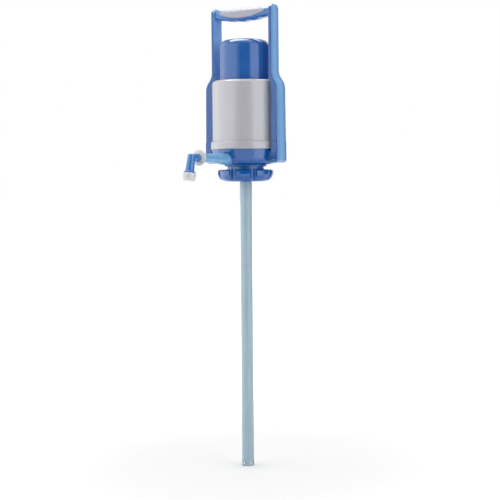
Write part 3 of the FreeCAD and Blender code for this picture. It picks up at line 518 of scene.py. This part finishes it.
def makeBellows(look):
    # a zigzag line from hem to lip, spun round the axis, its folds bevelled round, and thickened inwards
    hem = plateTop.z / mm + look["hemHeight"]
    line = [(look["hemRadius"], hem), (look["hemInside"], hem)]
    pitch = (look["foldsHigh"] - look["foldsLow"]) / look["folds"]
    for fold in range(look["folds"]):
        valley = look["foldsLow"] + pitch * fold
        line += [(look["waist"], valley), (look["crest"], valley + pitch / 2)]
    line += [(look["waist"], look["foldsHigh"]), (look["cuff"], look["foldsHigh"] + look["cuffRise"]),
             (look["cuff"], look["lipTop"]), (look["lipInner"], look["lipTop"])]
    points = [(radius * mm, 0, height * mm) for radius, height in line]
    sheet = spinLine(points, 2 * math.pi, look["around"], True)
    cleanSheet(sheet)
    low = (look["foldsLow"] - look["pastFolds"]) * mm
    high = (look["foldsHigh"] + look["pastFolds"]) * mm
    rings = [edge for edge in sheet.edges
             if abs(edge.verts[0].co.z - edge.verts[1].co.z) < sameSpot and low < edge.verts[0].co.z < high]
    bmesh.ops.bevel(sheet, geom=rings, offset=look["foldRounding"] * mm, offset_type="OFFSET", affect="EDGES",
                    segments=look["roundingSteps"], profile=0.5, material=-1)
    bmesh.ops.recalc_face_normals(sheet, faces=sheet.faces)
    bmesh.ops.solidify(sheet, geom=sheet.faces[:], thickness=look["wall"] * mm)
    return finishPiece(sheet, "bellowsSkin", rubber, "bellows")


springShape = {
    "coilRadius": 17.0,      # mm
    "wireRadius": 1.1,
    "low": 36.7,             # height of the wire's middle at either end
    "high": 202.6,
    "top": 203.8,            # just over the wire, where the cap presses on it
    "closedTurns": 1,        # turns that lie flat at each end
    "closedPitch": 2.1,      # wire radii that such a turn rises, so that it doesn't touch itself
    "openTurns": 7,
    "stepsPerTurn": 40,
    "wireSides": 10,
}


def makeSpring(look):
    # a wire's section swept up its coil: a closed turn, the open turns, and a closed turn again
    sheet = bmesh.new()
    section = bmesh.ops.create_circle(sheet, cap_ends=True, segments=look["wireSides"],
                                      radius=look["wireRadius"] * mm)
    start = Matrix.Translation((look["coilRadius"] * mm, 0, look["low"] * mm))
    upright = Matrix.Rotation(math.pi / 2, 4, "X")
    bmesh.ops.transform(sheet, matrix=start @ upright, verts=section["verts"])
    closed = (look["closedTurns"], look["closedTurns"] * look["closedPitch"] * look["wireRadius"])
    opened = (look["openTurns"], look["high"] - look["low"] - 2 * closed[1])
    end = sheet.faces[:] + sheet.edges[:] + sheet.verts[:]
    for turns, rise in (closed, opened, closed):
        steps = turns * look["stepsPerTurn"]
        swept = bmesh.ops.spin(sheet, geom=end, cent=(0, 0, 0), axis=(0, 0, 1),
                               dvec=(0, 0, rise * mm / steps), angle=2 * math.pi * turns, steps=steps,
                               use_merge=False)
        end = swept["geom_last"]
    return finishPiece(sheet, "springCoil", springSteel, "return_spring")


for piece in (makeBellows(bellowsShape), makeSpring(springShape)):
    print("made", piece.name, len(piece.data.polygons), "faces")


# Studio: a white floor that keeps the shadow, lamps set round the camera's azimuth, and cards for reflections

studio = {
    "floorSize": 40.0,
    "floorColour": "#E7E7E7",
    "floorGlow": (0.05, 1.0),    # shown to the camera near the pump, and far from it
    "glowReach": (0.15, 1.3),    # metres from the pump's axis between the two
    "roomLight": 0.6,
    "roomColour": "#FFFFFF",
    "aimHeight": 0.1,            # of the point on the axis that lamps and cards stand round
    "cardRows": 6,
    "cardColumns": 12,
}
lamps = {
    # turn is in degrees right of the camera, and lift in degrees up from level
    "leftPanel": dict(turn=-84.0, lift=8.0, distance=1.3, width=2.6, height=1.7, radiance=1.15),
    "rightPanel": dict(turn=50.0, lift=12.0, distance=1.3, width=1.1, height=1.6, radiance=1.35),
    "topPanel": dict(turn=150.0, lift=74.0, distance=1.4, width=1.6, height=1.2, radiance=2.1),
}
cards = {
    # each spans two turns and two lifts, and only reflections show it
    "frontFlag": dict(turns=(-26.0, 21.0), lifts=(-30.0, 50.0), distance=2.6, radiance=0.05),
    "sideFlag": dict(turns=(82.0, 138.0), lifts=(-30.0, 40.0), distance=2.6, radiance=0.05),
    "rimCard": dict(turns=(130.0, 270.0), lifts=(52.0, 88.0), distance=2.4, radiance=9.0),
}


def whiteForCamera(tree):
    # 1 where a ray comes from the camera, from a reflection or through the tube's half clear plastic
    path = addNode(tree, "LightPath")
    first = addNode(tree, "Math", {0: (path, "Is Camera Ray"), 1: (path, "Is Glossy Ray")},
                    operation="MAXIMUM")
    return addNode(tree, "Math", {0: (first, "Value"), 1: (path, "Is Transmission Ray")},
                   operation="MAXIMUM")


def stagePiece(name, sheet, material):
    piece = addPiece(name, sheet, material)
    return piece


def makeFloor(look):
    # matte, and lit from inside for the camera: hardly at all near the pump, so that its shadow stays, and white
    # further off
    material, tree = startMaterial("paleFloor")
    here = (addNode(tree, "TexCoord"), "Object")
    flat = addNode(tree, "Mapping", {"Vector": here, "Scale": (1.0, 1.0, 0.0)})
    far = addNode(tree, "VectorMath", {0: (flat, "Vector")}, operation="LENGTH")
    near, away = look["glowReach"]
    low, high = look["floorGlow"]
    glowing = addNode(tree, "MapRange", {"Value": (far, "Value"), "From Min": near, "From Max": away,
                                         "To Min": low, "To Max": high}, interpolation_type="SMOOTHSTEP")
    strength = addNode(tree, "Math", {0: (glowing, "Result"), 1: (whiteForCamera(tree), "Value")},
                       operation="MULTIPLY")
    matte = addNode(tree, "BsdfDiffuse", {"Color": linear(look["floorColour"])})
    glow = addNode(tree, "Emission", {"Strength": (strength, "Value")})
    both = addNode(tree, "AddShader", {0: (matte, "BSDF"), 1: (glow, "Emission")})
    addNode(tree, "OutputMaterial", {"Surface": (both, "Shader")})
    sheet = bmesh.new()
    bmesh.ops.create_grid(sheet, x_segments=1, y_segments=1, size=look["floorSize"] / 2)
    bmesh.ops.translate(sheet, verts=sheet.verts, vec=(0, 0, cadBox[0][2]))
    stagePiece("floor", sheet, material)


def makeRoom(look):
    # plain light on the pump, and full white where the camera looks past it
    world = bpy.data.worlds.new("room")
    world.use_nodes = True
    tree = world.node_tree
    tree.nodes.clear()
    seen = whiteForCamera(tree)
    strength = addNode(tree, "MapRange", {"Value": (seen, "Value"),
                                          "To Min": look["roomLight"], "To Max": 1.0})
    light = addNode(tree, "Background", {"Color": linear(look["roomColour"]),
                                         "Strength": (strength, "Result")})
    addNode(tree, "OutputWorld", {"Surface": (light, "Background")})
    bpy.context.scene.world = world


def addLamp(name, turn, lift, distance, width, height, radiance):
    data = bpy.data.lights.new(name, "AREA")
    data.shape = "RECTANGLE"
    data.size = width
    data.size_y = height
    data.energy = radiance * math.pi * width * height
    lamp = bpy.data.objects.new(name, data)
    away = outward(viewpoint["azimuth"] + turn, lift)
    spot = Vector((0, 0, studio["aimHeight"])) + away * distance
    lamp.matrix_world = Matrix.Translation(spot) @ away.to_track_quat("Z", "Y").to_matrix().to_4x4()
    bpy.context.scene.collection.objects.link(lamp)


def addCard(name, turns, lifts, distance, radiance):
    # a curved card that only reflections show, dark where a band is wanted and bright for a highlight
    material, tree = startMaterial(name)
    glow = addNode(tree, "Emission", {"Strength": radiance})
    addNode(tree, "OutputMaterial", {"Surface": (glow, "Emission")})
    aim = Vector((0, 0, studio["aimHeight"]))
    rows = studio["cardRows"]
    low, high = lifts
    first, last = turns
    edge = [outward(viewpoint["azimuth"] + first, low + (high - low) * row / rows) * distance + aim
            for row in range(rows + 1)]
    sheet = spinLine(edge, math.radians(last - first), studio["cardColumns"], False)
    card = stagePiece(name, sheet, material)
    card.visible_camera = False
    card.visible_diffuse = False
    card.visible_shadow = False
    card.visible_transmission = False


makeFloor(studio)
makeRoom(studio)
for name, look in lamps.items():
    addLamp(name, **look)
for name, look in cards.items():
    addCard(name, **look)
print("studio built")
